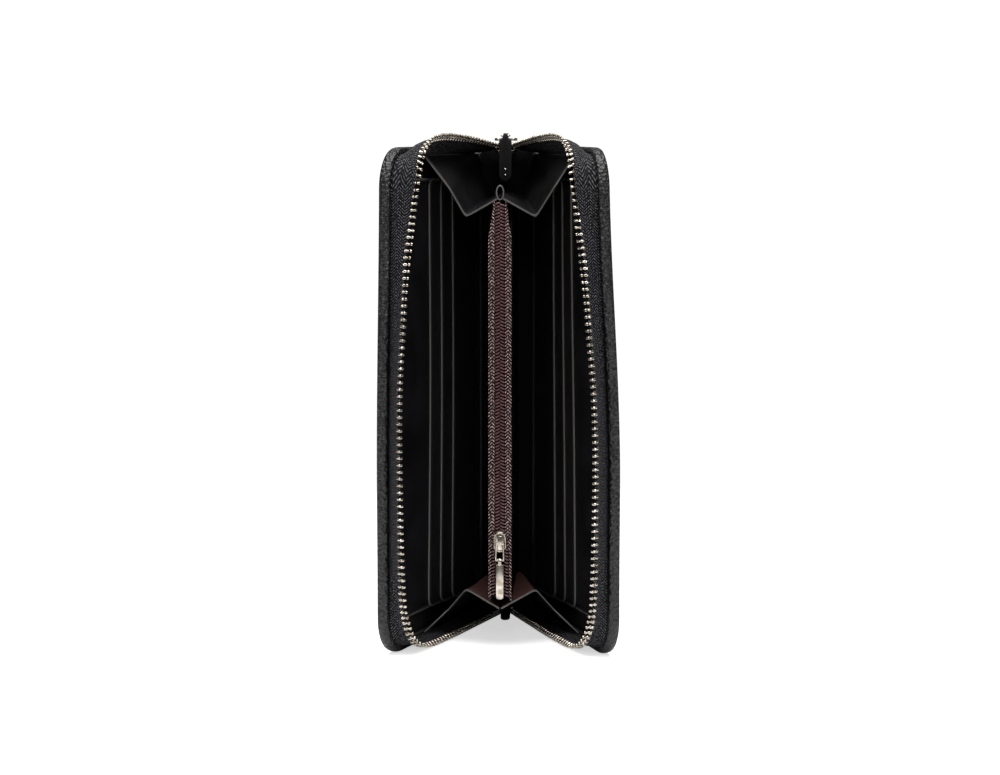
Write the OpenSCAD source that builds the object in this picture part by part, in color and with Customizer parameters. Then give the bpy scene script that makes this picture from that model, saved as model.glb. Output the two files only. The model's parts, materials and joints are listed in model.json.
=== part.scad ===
// Zip-around long wallet, standing on a short end with its covers held open in a V.
// +Z is up, the opening faces -Y and the spine is at +Y. The origin is at the middle of the footprint.

/* [Covers] */
// Height of the covers
cover_h = 190; // [165:1:215]
// Depth of a cover, from the bend of the spine to its front edge
cover_d = 100; // [88:1:120]
// Radius of a cover's two front corners
corner_r = 15; // [8:1:20]
// Thickness of the turned leather rim
rim_t = 4.2; // [3.8:0.1:5.4]
// Width of the turned leather rim
rim_w = 3.2; // [2.6:0.1:5]
// Thickness of the outer leather
leather_t = 1.4; // [1:0.1:1.8]
// Thickness of the stiffening board
board_t = 1.2; // [0.8:0.1:1.4]
// Thickness of the lining
lining_t = 0.7; // [0.5:0.1:0.8]
// Angle by which each cover stands open
open_angle = 18.5; // [14:0.5:24]

/* [Spine] */
// Distance between the two bends of the spine
spine_w = 23.4; // [22:0.2:28]
// Thickness of the spine's lining
spine_lining_t = 1.6; // [1:0.1:2]

/* [Card slots] */
// Number of stepped card slots in each cover
slot_count = 3; // [1:1:3]
// Depth of the outermost slot's edge, from the bend of the spine
slot_front = 60; // [50:1:74]
// Step from one slot edge to the next
slot_step = 10.5; // [6:0.5:14]
// Thickness of one card panel
panel_t = 0.7; // [0.5:0.1:0.8]

/* [Main zip] */
// How far the chain stands in front of the covers
chain_out = 4.8; // [2:0.2:7]
// How far the chain stands above the covers
chain_rise = 4.8; // [3:0.2:6]
// How far the chain stands in from the middle of a cover
chain_in = 10.2; // [9:0.2:10.6]
// Distance from tooth to tooth
tooth_pitch = 2.55; // [2.2:0.05:3]
// Length of a tooth
tooth_l = 3.3; // [2.6:0.1:3.6]
// Width of a tooth along the chain
tooth_w = 1.15; // [0.9:0.05:1.2]
// Height of a tooth across the tape
tooth_h = 1.8; // [1.6:0.1:2.4]
// Thickness of the tape
tape_t = 0.6; // [0.4:0.1:0.8]

/* [Coin pocket] */
// Depth of the coin pocket's zip, from the bends of the spine
pocket_d = 76; // [64:1:80]
// Width of the coin pocket
pocket_w = 8.8; // [8:0.2:11]
// Height of the pocket's lower end above the floor
pocket_foot = 19.8; // [18:0.2:26]
// Distance from the pocket's upper end to the top of the covers
pocket_head = 22.7; // [21:0.1:30]
// Thickness of the pocket's walls
pocket_t = 0.9; // [0.6:0.1:1.2]
// Radius of one side of the nylon coil
coil_r = 0.9; // [0.7:0.05:1]
// Height of the coin slider above the floor
coin_slider_z = 41.5; // [36:0.5:60]

/* [Hidden] */

LEFT = 0;
RIGHT = 1;
LEATHER = "#1b1b1d";
LINING = "#232326";
BOARD = "#8a7a62";
TAPE = "#2b2b2e";
NICKEL = "#c9c4bc";
WINE = "#56333a";

round_fn = 96;
wire_fn = 32;
clear = 0.3;              // between pieces that only lie beside each other
seam_gap = 0.05;          // between pieces that are sewn or glued face to face
tape_gap = 0.5;           // from the tape's edge to the roots of the teeth, which fan out where the chain bends
pin_clear = 0.1;          // between a pull's wire and its hole
hinge_x = spine_w / 2;
bend_r = rim_t / 2;
cover_back = bend_r + 0.35;

board_w0 = leather_t - rim_t / 2;
lining_w0 = board_w0 + board_t;
panel_w0 = lining_w0 + lining_t + seam_gap;
panel_inset = 12;         // from the covers' ends to the card panels
slip_front = cover_d - 12;
slot_back = 12;

seam_inset = rim_w - 0.6;
seam_w = rim_t / 2 + 0.4;
core_r = corner_r - seam_inset;

// From the standing, open wallet (bends at y = 0) to a cover's own directions (forward, inward, up).
function from_open(p) = [
    -p[1] * cos(open_angle) - (p[0] + hinge_x) * sin(open_angle),
    (p[0] + hinge_x) * cos(open_angle) - p[1] * sin(open_angle),
    p[2]
];

// The tips of the teeth follow a smooth curve through these points: [forward of the bend, inward, up].
// Its ends lie by the slider and the stops, so they are placed from the middle of the wallet.
chain_knots = [
    from_open([-0.54, -6.37, cover_h]),
    from_open([-0.96, -12.03, cover_h]),
    from_open([-2.3, -17.9, cover_h + 0.3]),
    from_open([-6.67, -29.1, cover_h + 1.8]),
    [44, hinge_x + 0.7, cover_h + 0.8 * chain_rise],
    [cover_d - 38, 11.4, cover_h + chain_rise],
    [cover_d - 25, 11.3, cover_h + 0.6 * chain_rise],
    [cover_d - 18, 11.2, cover_h - 2],
    [cover_d - 13, 11, cover_h - 10],
    [cover_d - 8, 10.8, cover_h - 22],
    [cover_d, chain_in + 0.3, cover_h - 50],
    [cover_d + chain_out, chain_in, cover_h - 85],
    [cover_d + chain_out, chain_in, 70],
    [cover_d + chain_out / 2, chain_in, 28],
    [cover_d - 3, 10.5, 13],
    [cover_d - 9.5, 11, 5.5],
    [cover_d - 20, 11.8, 2],
    [cover_d - 40, hinge_x + 0.6, 1.4],
    [30, hinge_x + 0.8, 1.4],
    from_open([-0.64, -6.34, 1.4])
];
knot_steps = 6;

function smooth_point(a, b, c, d, t) = 0.5 * (2 * b + (c - a) * t + (2 * a - 5 * b + 4 * c - d) * t * t
    + (3 * b - a - 3 * c + d) * t * t * t);
function smooth_curve(k, steps) = let (n = len(k) - 1) [
    for (i = [0 : n - 1]) for (s = [0 : steps - 1])
        smooth_point(k[max(i - 1, 0)], k[i], k[i + 1], k[min(i + 2, n)], s / steps),
    k[n]
];
function lengths(p, i = 1, sum = [0]) = i == len(p) ? sum
    : lengths(p, i + 1, concat(sum, [sum[i - 1] + norm(p[i] - p[i - 1])]));
function span_at(sum, s, i = 1) = (i == len(sum) - 1 || sum[i] >= s) ? i : span_at(sum, s, i + 1);
function point_at(p, sum, s) = let (i = span_at(sum, s), f = (s - sum[i - 1]) / (sum[i] - sum[i - 1]))
    p[i - 1] + f * (p[i] - p[i - 1]);
function unit(v) = v / norm(v);
function clamp(v, low, high) = min(max(v, low), high);

// The nearest point of the sewn edge of the tape: a rounded outline just inside the rim.
function seam_point(c) = let (
    q = [min(c[0], cover_d - corner_r), clamp(c[2], corner_r, cover_h - corner_r)],
    d = unit([c[0], c[2]] - q)
) [q[0] + core_r * d[0], seam_w, q[1] + core_r * d[1]];
function lean(c) = unit(c - seam_point(c));
function tape_edge(c) = c - (tooth_l + tape_gap) * lean(c);

chain = smooth_curve(chain_knots, knot_steps);
chain_lengths = lengths(chain);
chain_l = chain_lengths[len(chain) - 1];
tooth_count = floor(chain_l / tooth_pitch);

function tangent(i) = unit(chain[min(i + 1, len(chain) - 1)] - chain[max(i - 1, 0)]);
function tape_normal(i) = unit(cross(tangent(i), lean(chain[i])));

// From a cover's own directions (forward, inward, up) to the standing, open wallet, bends at y = 0.
function open_point(p) = [
    -hinge_x - p[0] * sin(open_angle) + p[1] * cos(open_angle),
    -p[0] * cos(open_angle) - p[1] * sin(open_angle),
    p[2]
];
y_front = min([for (c = chain) open_point(c)[1]]) - tooth_h / 2 * cos(open_angle);
y_hinge = -(y_front + bend_r) / 2;

module stand() { translate([0, y_hinge, 0]) children(); }
module on_side(side) { stand() mirror([side, 0, 0]) children(); }
module on_cover(side) {
    on_side(side) translate([-hinge_x, 0, 0]) rotate([0, 0, -open_angle]) children();
}
module along_x() { rotate([0, 90, 0]) children(); }
module sheet_on_cover(w, t) { translate([w, 0, 0]) rotate([90, 0, 90]) linear_extrude(t) children(); }

// A closed solid between two equal grids of points.
module grid_solid(top, bottom) {
    rows = len(top);
    cols = len(top[0]);
    n = rows * cols;
    points = concat([for (r = top) each r], [for (r = bottom) each r]);
    sheet = [for (i = [0 : rows - 2]) for (j = [0 : cols - 2]) let (a = i * cols + j)
        each [[a, a + 1, a + cols], [a + 1, a + cols + 1, a + cols]]];
    rim = concat(
        [for (j = [0 : cols - 1]) j],
        [for (i = [1 : rows - 1]) i * cols + cols - 1],
        [for (j = [cols - 2 : -1 : 0]) (rows - 1) * cols + j],
        [for (i = [rows - 2 : -1 : 1]) i * cols]
    );
    m = len(rim);
    polyhedron(points, concat(
        sheet,
        [for (f = sheet) [f[2] + n, f[1] + n, f[0] + n]],
        [for (k = [0 : m - 1]) let (a = rim[k], b = rim[(k + 1) % m]) each [[b, a, a + n], [b, a + n, b + n]]]
    ));
}

// ---- covers ----

module cover_outline(inset, back) {
    arc_d = cover_d - corner_r;
    translate([-arc_d, inset]) square([arc_d - back, cover_h - 2 * inset]);
    translate([-(cover_d - inset), corner_r]) square([cover_d - inset - back, cover_h - 2 * corner_r]);
    for (z = [corner_r, cover_h - corner_r]) translate([-arc_d, z]) circle(corner_r - inset, $fn = round_fn);
}
module panel_outline(front, back, inset, r) {
    translate([-(front - r), inset]) square([front - r - back, cover_h - 2 * inset]);
    translate([-front, inset + r]) square([front - back, cover_h - 2 * (inset + r)]);
    for (z = [inset + r, cover_h - inset - r]) translate([-(front - r), z]) circle(r, $fn = round_fn);
}
module cover_leather(side) {
    edge = 0.6;
    on_cover(side) color(LEATHER) difference() {
        union() {
            sheet_on_cover(-rim_t / 2, edge) cover_outline(edge, cover_back);
            sheet_on_cover(-rim_t / 2 + edge, rim_t - 2 * edge) cover_outline(0, cover_back);
            sheet_on_cover(rim_t / 2 - edge, edge) cover_outline(edge, cover_back);
        }
        sheet_on_cover(board_w0, rim_t) cover_outline(rim_w, cover_back - 1);
    }
}
module cover_board(side) {
    on_cover(side) color(BOARD) sheet_on_cover(board_w0, board_t)
        cover_outline(rim_w + seam_gap, cover_back);
}
module cover_lining(side) {
    on_cover(side) color(LINING) sheet_on_cover(lining_w0, lining_t)
        cover_outline(rim_w + seam_gap, cover_back);
}
module card_panel(side, layer, front, back) {
    on_cover(side) color(LINING) sheet_on_cover(panel_w0 + layer * (panel_t + seam_gap), panel_t)
        panel_outline(front, back, panel_inset, 4);
}
module slip_panel(side) { card_panel(side, 0, slip_front, cover_back + 2); }
module card_slot(side, k) {
    if (k <= slot_count) card_panel(side, k, slot_front - (k - 1) * slot_step, slot_back);
}
module zip_tape(side) {
    on_cover(side) color(TAPE) grid_solid(
        [for (i = [0 : len(chain) - 1]) let (s = seam_point(chain[i]), e = tape_edge(chain[i]),
            n = tape_normal(i) * tape_t / 2) [for (p = [s + n, e + n]) [p[1], -p[0], p[2]]]],
        [for (i = [0 : len(chain) - 1]) let (s = seam_point(chain[i]), e = tape_edge(chain[i]),
            n = tape_normal(i) * tape_t / 2) [for (p = [s - n, e - n]) [p[1], -p[0], p[2]]]]
    );
}
module zip_teeth(side) {
    offset_l = (side == LEFT ? 0.25 : 0.75) * tooth_pitch;
    on_cover(side) color(NICKEL) for (k = [0 : tooth_count - 1]) {
        s = offset_l + k * tooth_pitch;
        c = point_at(chain, chain_lengths, s);
        ahead = point_at(chain, chain_lengths, min(s + 0.1, chain_l)) - point_at(chain, chain_lengths, s - 0.1);
        l = lean(c);
        n = unit(cross(unit(ahead), l));
        t = cross(l, n);
        multmatrix([
            [l[1], t[1], n[1], c[1]],
            [-l[0], -t[0], -n[0], -c[0]],
            [l[2], t[2], n[2], c[2]],
            [0, 0, 0, 1]
        ]) translate([-tooth_l, -tooth_w / 2, -tooth_h / 2]) cube([tooth_l, tooth_w, tooth_h]);
    }
}

// ---- spine ----

module spine_leather() {
    stand() color(LEATHER) {
        translate([-hinge_x, bend_r - leather_t, 0]) cube([spine_w, leather_t, cover_h]);
        for (x = [-hinge_x, hinge_x]) translate([x, 0, 0]) cylinder(r = bend_r, h = cover_h, $fn = round_fn);
    }
}
lining_x = hinge_x - bend_r - clear;
lining_y = bend_r - leather_t - seam_gap - spine_lining_t;
module spine_lining() {
    stand() color(LINING) translate([-lining_x, lining_y, 1]) cube([2 * lining_x, spine_lining_t, cover_h - 2]);
}

stop_y = -5.4;
stop_l = 2;
stop_w = 5.2;
module zip_head_tab() {
    stand() color(TAPE) translate([-3, stop_y + stop_l + seam_gap, cover_h - 2.4])
        cube([6, lining_y - stop_y - stop_l - 2 * seam_gap, 1.4]);
}
module zip_stop(z) {
    stand() color(NICKEL) translate([-stop_w / 2, stop_y, z]) cube([stop_w, stop_l, 2.4]);
}
module zip_top_stop() { zip_stop(cover_h - 1.4); }
module zip_bottom_stop() { zip_stop(0.4); }

tail_l = 22;
tail_w = 3.8;
tail_t = 1.6;
tail_z = 6.2;             // height of the tab's sewn end, above the chain
module zip_tail_tab() {
    slope = 10;
    stand() color(TAPE) translate([0, lining_y - seam_gap - 0.4, tail_z]) rotate([slope, 0, 0])
        translate([0, 0, -tail_t]) {
            translate([-tail_w / 2, tail_w / 2 - tail_l, 0]) cube([tail_w, tail_l - tail_w / 2, tail_t]);
            translate([0, tail_w / 2 - tail_l, 0]) cylinder(d = tail_w, h = tail_t, $fn = round_fn);
        }
}

// ---- coin pocket ----

pocket_top = cover_h - pocket_head;
pocket_h = pocket_top - pocket_foot;
wall_front = 1.4;         // from the zip's tape back to the walls' front edges
wall_l = pocket_d - wall_front + lining_y - seam_gap;
module coin_pocket_wall(side) {
    on_side(side) color(LINING) translate([-pocket_w / 2, -pocket_d + wall_front, pocket_foot])
        cube([pocket_t, wall_l, pocket_h]);
}
module coin_pocket_end(z) {
    inner_w = pocket_w - 2 * (pocket_t + seam_gap);
    stand() color(LINING) translate([-inner_w / 2, -pocket_d + wall_front, z]) cube([inner_w, wall_l, pocket_t]);
}
module coin_pocket_roof() { coin_pocket_end(pocket_top - pocket_t); }
module coin_pocket_floor() { coin_pocket_end(pocket_foot); }
loop_l = 6;
module coin_pocket_end_loop() {
    stand() color(LEATHER) translate([0, -pocket_d + 0.6, coin_chain_top + clear + loop_l / 2]) rotate([90, 0, 0])
        linear_extrude(2.4, center = true) difference() {
            resize([3.4, loop_l]) circle(2, $fn = round_fn);
            resize([1.8, loop_l - 1.6]) circle(2, $fn = round_fn);
        }
}
coin_tape_w = pocket_w / 2;
coil_x = coil_r + 0.1;
coil_open_x = coil_x + 1.4;      // where the two sides part below the slider
coil_open_h = 5;
coin_chain_top = pocket_top + 2.4;
coin_tape_t = 0.5;
module coin_zip_tape(side) {
    edge = coil_x + coil_r + seam_gap;
    open_edge = edge + coil_open_x - coil_x;
    tip_h = 14;                   // the tape narrows to a point at its upper end
    on_side(side) color(WINE) translate([0, -pocket_d + coin_tape_t / 2, 0]) rotate([90, 0, 0])
        linear_extrude(coin_tape_t) polygon([
            [-coin_tape_w, pocket_foot - 1],
            [-open_edge, pocket_foot - 1],
            [-open_edge, coin_slider_z + 1 - coil_open_h],
            [-edge, coin_slider_z + 1],
            [-edge, coin_chain_top],
            [-edge - 0.5, coin_chain_top],
            [-coin_tape_w, coin_chain_top - tip_h]
        ]);
}
module coin_zip_coil(side) {
    part_z = coin_slider_z + 1;
    foot_z = part_z - coil_open_h;
    on_side(side) color(WINE) translate([0, -pocket_d + coil_r, 0]) rotate([90, 0, 0])
        linear_extrude(2 * coil_r) polygon([
            for (x = [coil_r, -coil_r]) each let (line = [
                [x - coil_x, coin_chain_top], [x - coil_x, part_z],
                [x - coil_open_x, foot_z], [x - coil_open_x, pocket_foot]
            ]) x > 0 ? line : [for (i = [3 : -1 : 0]) line[i]]
        ]);
}

// ---- coin slider and its pull ----

coin_body_w = 5;
coin_body_h = 8;
coin_plate_t = 0.9;
coin_front_y = -pocket_d - coil_r - clear - coin_plate_t;
coin_back_y = -pocket_d + coil_r + clear;
module oval_plate(w, h, t) {
    rotate([90, 0, 0]) linear_extrude(t) {
        translate([-w / 2, -(h - w) / 2]) square([w, h - w]);
        for (z = [-(h - w) / 2, (h - w) / 2]) translate([0, z]) circle(d = w, $fn = round_fn);
    }
}
module coin_slider_body() {
    post_w = 1.3;
    post_z = coin_slider_z - 3.7;
    stand() color(NICKEL) {
        translate([0, coin_front_y + coin_plate_t, coin_slider_z]) oval_plate(coin_body_w, coin_body_h, coin_plate_t);
        translate([0, coin_back_y + coin_plate_t, coin_slider_z]) oval_plate(coin_body_w, coin_body_h, coin_plate_t);
        translate([-post_w / 2, coin_front_y, post_z]) cube([post_w, coin_back_y + coin_plate_t - coin_front_y, 2]);
    }
}
wire_r = 0.45;
hole_r = wire_r + pin_clear;
arm_x = 1.4;
bridge_w = 1.6;
coin_pivot = [0, coin_front_y - 0.95, coin_slider_z - 0.8];
coin_link_l = 6;
coin_bar_l = 15;
coin_bar_w = 3.3;
coin_bar_t = 1.2;
module coin_slider_bridge() {
    stand() color(NICKEL) difference() {
        translate([-bridge_w / 2, coin_pivot[1] - 0.95, coin_slider_z - 2.4])
            cube([bridge_w, coin_front_y - seam_gap - coin_pivot[1] + 0.95, 4.8]);
        translate([-bridge_w, coin_pivot[1], coin_pivot[2]]) along_x() cylinder(r = hole_r, h = 2 * bridge_w, $fn = wire_fn);
    }
}
// A closed loop of wire: two cross pins joined by two arms.
module wire_link(l) {
    for (z = [0, -l]) translate([-arm_x, 0, z]) along_x() cylinder(r = wire_r, h = 2 * arm_x, $fn = wire_fn);
    for (x = [-arm_x, arm_x]) {
        translate([x, 0, -l]) cylinder(r = wire_r, h = l, $fn = wire_fn);
        for (z = [0, -l]) translate([x, 0, z]) sphere(wire_r, $fn = wire_fn);
    }
}
module pull_bar(w, t, l) {
    neck_w = 2 * (arm_x - wire_r) - 0.2;
    neck_l = 2.2;
    difference() {
        union() {
            translate([-neck_w / 2, -t / 2, -neck_l]) cube([neck_w, t, neck_l]);
            translate([-neck_w / 2, 0, 0]) along_x() cylinder(d = max(t, 2.2 * hole_r + 0.6), h = neck_w, $fn = wire_fn);
            translate([-w / 2, -t / 2, w / 2 - l]) cube([w, t, l - w / 2 - 1.2]);
            translate([0, t / 2, w / 2 - l]) rotate([90, 0, 0]) cylinder(d = w, h = t, $fn = round_fn);
        }
        translate([-w, 0, 0]) along_x() cylinder(r = hole_r, h = 2 * w, $fn = wire_fn);
    }
}
module coin_pull_link() { stand() color(NICKEL) translate(coin_pivot) wire_link(coin_link_l); }
module coin_pull_bar() {
    stand() color(NICKEL) translate(coin_pivot - [0, 0, coin_link_l]) pull_bar(coin_bar_w, coin_bar_t, coin_bar_l);
}

// ---- main slider and its pull ----

main_y = -12.5;
main_l = 11.5;
main_w = 8.8;
main_plate_t = 1;
channel_low = cover_h - 2.2;
channel_high = cover_h + 1.7;
module slider_plate(z) {
    corner = 2.5;
    translate([0, main_y, z]) linear_extrude(main_plate_t) {
        square([main_w, main_l - 2 * corner], center = true);
        square([main_w - 2 * corner, main_l], center = true);
        for (x = [-1, 1], y = [-1, 1]) translate([x * (main_w / 2 - corner), y * (main_l / 2 - corner)])
            circle(corner, $fn = round_fn);
    }
}
module main_slider_body() {
    post_w = 1.4;
    post_y = main_y - main_l / 2 + 0.6;
    stand() color(NICKEL) {
        slider_plate(channel_low - main_plate_t);
        slider_plate(channel_high);
        translate([-post_w / 2, post_y, channel_low - main_plate_t])
            cube([post_w, 2.6, channel_high + 2 * main_plate_t - channel_low]);
    }
}
bridge_h = 1.9;
bridge_base = channel_high + main_plate_t + seam_gap;
main_pivot = [0, main_y - 3.1, bridge_base + 1];
main_link_l = 4.8;
main_tab_w = 5;
main_tab_t = 1.2;
main_tab_l = 18;
module main_slider_bridge() {
    stand() color(NICKEL) difference() {
        translate([-bridge_w / 2, main_y - 4.2, bridge_base]) cube([bridge_w, 8, bridge_h]);
        translate([-bridge_w, main_pivot[1], main_pivot[2]]) along_x()
            cylinder(r = hole_r, h = 2 * bridge_w, $fn = wire_fn);
        translate([-bridge_w, main_y - 1, bridge_base - 1]) cube([2 * bridge_w, 3.6, bridge_h]);
    }
}
module main_pull_link() {
    stand() color(NICKEL) translate(main_pivot) rotate([-90, 0, 0]) wire_link(main_link_l);
}
// A leather tab, folded round the link.
module main_pull_tab() {
    stand() color(LEATHER) translate(main_pivot - [0, main_link_l, 0]) pull_bar(main_tab_w, main_tab_t, main_tab_l);
}

// ---- gussets: each runs from a cover's end seam over one fold to the coin pocket ----

gusset_t = 0.7;
gusset_front = cover_d - 36;
gusset_back = 9;
gusset_y = -pocket_d + 2;
gusset_lift = 4.1;        // from the pocket's ends to the middle of the gussets
// seam_z, fold_z and mid_z are the heights of the sewn end, the fold's front and the middle.
module gusset(side, seam_z, fold_z, mid_z) {
    fold_x = 13.3;
    back_x = 5.6;
    mid_x = 0.45;
    back_y = lining_y - 3;
    back_fold_z = mid_z + 0.25 * (fold_z - mid_z);
    front = [
        open_point([gusset_front, seam_w, seam_z]),
        [-fold_x - 7, gusset_y + 12, (seam_z + fold_z) / 2],
        [-fold_x, gusset_y + 6, fold_z],
        [-mid_x, gusset_y, mid_z]
    ];
    back = [
        open_point([gusset_back, seam_w + 0.8, seam_z]),
        [-back_x - 2.4, back_y, (seam_z + back_fold_z) / 2],
        [-back_x, back_y, back_fold_z],
        [-mid_x, back_y, mid_z]
    ];
    drop = [0, 0, gusset_t];
    on_side(side) color(LINING) grid_solid([back, front], [for (p = [back, front]) [for (q = p) q - drop]]);
}
module top_gusset(side) {
    gusset(side, cover_h - seam_inset - 1, pocket_top - 3.3, pocket_top + gusset_lift);
}
module bottom_gusset(side) {
    gusset(side, seam_inset + 1.4, pocket_foot + 2.2, pocket_foot - gusset_lift);
}

spine_leather();
spine_lining();
zip_head_tab();
zip_top_stop();
zip_bottom_stop();
zip_tail_tab();
coin_pocket_wall(LEFT);  // coin_pocket_left_wall
coin_pocket_wall(RIGHT);  // coin_pocket_right_wall
coin_pocket_roof();
coin_pocket_floor();
coin_pocket_end_loop();
coin_zip_tape(LEFT);  // coin_zip_left_tape
coin_zip_tape(RIGHT);  // coin_zip_right_tape
coin_zip_coil(LEFT);  // coin_zip_left_coil
coin_zip_coil(RIGHT);  // coin_zip_right_coil
coin_slider_body();
coin_slider_bridge();
coin_pull_link();
coin_pull_bar();
main_slider_body();
main_slider_bridge();
main_pull_link();
main_pull_tab();
cover_leather(LEFT);  // left_cover_leather
cover_board(LEFT);  // left_cover_board
cover_lining(LEFT);  // left_cover_lining
slip_panel(LEFT);  // left_slip_panel
card_slot(LEFT, 1);  // left_card_slot_1
card_slot(LEFT, 2);  // left_card_slot_2
card_slot(LEFT, 3);  // left_card_slot_3
zip_tape(LEFT);  // left_zip_tape
zip_teeth(LEFT);  // left_zip_teeth
top_gusset(LEFT);  // left_top_gusset
bottom_gusset(LEFT);  // left_bottom_gusset
cover_leather(RIGHT);  // right_cover_leather
cover_board(RIGHT);  // right_cover_board
cover_lining(RIGHT);  // right_cover_lining
slip_panel(RIGHT);  // right_slip_panel
card_slot(RIGHT, 1);  // right_card_slot_1
card_slot(RIGHT, 2);  // right_card_slot_2
card_slot(RIGHT, 3);  // right_card_slot_3
zip_tape(RIGHT);  // right_zip_tape
zip_teeth(RIGHT);  // right_zip_teeth
top_gusset(RIGHT);  // right_top_gusset
bottom_gusset(RIGHT);  // right_bottom_gusset
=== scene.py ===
"""The looks of a long zip-round wallet that stands open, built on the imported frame.

Sizes are in millimetres here and become metres where a mesh is made. A cover's own directions are u, forward from
the bend of the spine, w, inward from the middle of the cover's thickness, and z, up.
"""

import json
import math
from functools import partial
from types import SimpleNamespace

import bmesh
import bpy
import numpy as np
from bpy.props import FloatProperty, FloatVectorProperty, PointerProperty
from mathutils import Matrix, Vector


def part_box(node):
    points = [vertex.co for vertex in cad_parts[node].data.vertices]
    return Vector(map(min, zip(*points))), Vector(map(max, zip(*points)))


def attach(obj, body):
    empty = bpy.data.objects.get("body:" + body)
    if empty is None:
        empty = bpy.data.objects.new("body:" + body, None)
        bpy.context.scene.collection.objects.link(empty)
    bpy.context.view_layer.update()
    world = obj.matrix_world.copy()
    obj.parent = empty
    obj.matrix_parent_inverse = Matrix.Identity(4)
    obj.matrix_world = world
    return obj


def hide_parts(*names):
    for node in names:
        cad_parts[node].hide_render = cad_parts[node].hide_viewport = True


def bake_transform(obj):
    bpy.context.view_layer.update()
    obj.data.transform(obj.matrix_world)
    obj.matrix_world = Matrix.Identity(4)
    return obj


bl_info = {
    "name": "Zip-round wallet",
    "version": (1, 0, 0),
    "blender": (4, 5, 0),
    "location": "View3D > Sidebar > Wallet",
    "description": "Builds the leather, cloth and metal of an open zip-round wallet",
    "category": "Object",
}

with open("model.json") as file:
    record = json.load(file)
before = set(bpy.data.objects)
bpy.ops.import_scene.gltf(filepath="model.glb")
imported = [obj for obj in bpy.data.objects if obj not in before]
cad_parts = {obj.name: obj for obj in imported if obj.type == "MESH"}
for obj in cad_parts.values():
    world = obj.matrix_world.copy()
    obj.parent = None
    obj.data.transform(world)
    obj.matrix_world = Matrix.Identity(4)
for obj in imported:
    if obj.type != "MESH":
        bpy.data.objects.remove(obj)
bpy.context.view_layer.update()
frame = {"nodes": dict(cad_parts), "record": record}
MM = 0.001
SIDES = {"left": -1, "right": 1}
WELD = 2e-6  # points closer than this, in metres, become one
SOFT_ANGLE = math.radians(48)  # a fold of a new piece sharper than this stays crisp
CAST_ANGLE = math.radians(40)  # an edge of a metal part sharper than this is rounded
SHEET = 0.7  # thickness of the leather of linings, slots, gussets and the spine
SEWN_IN = 0.6  # how far outside the rim's inner edge the main zip's tape is sewn
COLOUR_MIX = {"out": 2, "data_type": "RGBA"}  # a mix node for two colours, whose sockets are 6 and 7


def cad_box_mm(node):
    """Lowest and highest corner of a CAD node in millimetres."""
    low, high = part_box(node)
    return np.array(low) / MM, np.array(high) / MM


SPINE_LOW, SPINE_HIGH = cad_box_mm("spine_leather")
Y_HINGE = (SPINE_LOW[1] + SPINE_HIGH[1]) / 2
COVER_H = SPINE_HIGH[2] - SPINE_LOW[2]
BEND_R = (SPINE_HIGH[1] - SPINE_LOW[1]) / 2
HINGE_X = (SPINE_HIGH[0] - SPINE_LOW[0]) / 2 - BEND_R
BODY_OF = {node: body for body, nodes in frame["record"]["behaviour"]["bodies"].items() for node in nodes}


# ---- sizes and colours ----


def linear(hex_value):
    """An sRGB hex value as linear RGBA: c / 12.92 up to 0.04045, ((c + 0.055) / 1.055) ** 2.4 above."""
    c = np.array([int(hex_value[i:i + 2], 16) for i in (0, 2, 4)]) / 255
    c = np.where(c <= 0.04045, c / 12.92, ((c + 0.055) / 1.055) ** 2.4)
    return (*c.tolist(), 1.0)


def size(name, default, text):
    """A length that a user can change, given in millimetres and kept in metres."""
    return FloatProperty(name=name, description=text, default=default * MM, min=0.0, max=0.4, precision=5,
                         subtype="DISTANCE", unit="LENGTH")


def shade(name, default, text):
    """A colour that a user can change, given as sRGB hex and kept linear."""
    return FloatVectorProperty(name=name, description=text, default=linear(default), min=0.0, max=1.0, size=4,
                               subtype="COLOR")


class WalletSizes(bpy.types.PropertyGroup):
    cover_d: size("Cover depth", 100, "Depth of a cover, from the bend of the spine")
    corner_r: size("Corner radius", 15, "Radius of a cover's corners")
    rim_w: size("Rim width", 3.2, "Width of the turned leather rim")
    open_angle: FloatProperty(name="Open angle", description="How far each cover stands open",
                              default=math.radians(18.5), subtype="ANGLE", unit="ROTATION")
    tooth_pitch: size("Tooth pitch", 2.55, "Distance from tooth to tooth")
    slot_front: size("Slot front", 60, "Depth of the outermost card slot's edge")
    slot_step: size("Slot step", 10.5, "Step from one card slot to the next")
    coil_pitch: size("Coil pitch", 1.25, "Distance between turns of the nylon coil")
    pull_left: size("Left pull", 1.5, "How far the zip pulls in the left cover's top")
    pull_right: size("Right pull", 4.8, "How far the zip pulls in the right cover's top")


class WalletColours(bpy.types.PropertyGroup):
    leather: shade("Leather", "080809", "Pebbled outer leather")
    worn_leather: shade("Worn leather", "111113", "Turned edges of the outer leather")
    lining: shade("Lining", "0c0b0d", "Smooth coated lining")
    # The card slots' colour is the lining leather lightened: painted light that lifts the shade between the slots.
    slot: shade("Card slot", "222022", "Smooth coated leather of the card slots")
    # The cut edges' colour is edge paint brightened into a painted highlight along the rounded edges.
    edge: shade("Cut edge", "6c6a67", "Burnished edges of the card slots and gussets")
    gusset: shade("Gusset", "0d0c0e", "Glossy gusset leather")
    # The zip tapes' thread colours are painted highlights: lighter raised threads on a near-black tape.
    tape: shade("Zip tape", "6e6e74", "Raised threads of the main zip's tape")
    nickel: shade("Nickel", "d6cfc4", "Polished teeth and pulls")
    wine: shade("Wine cloth", "553839", "Coil of the coin pocket's zip")
    # Painted highlights on the raised threads of the wine tape.
    thread: shade("Wine thread", "e6c4c0", "Raised threads of the coin pocket's zip")
    slope: shade("Wine lining", "72524e", "Cloth on the inner slopes of the lower gussets")
    board: shade("Board", "8a7a62", "Fibre board in the covers")


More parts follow.
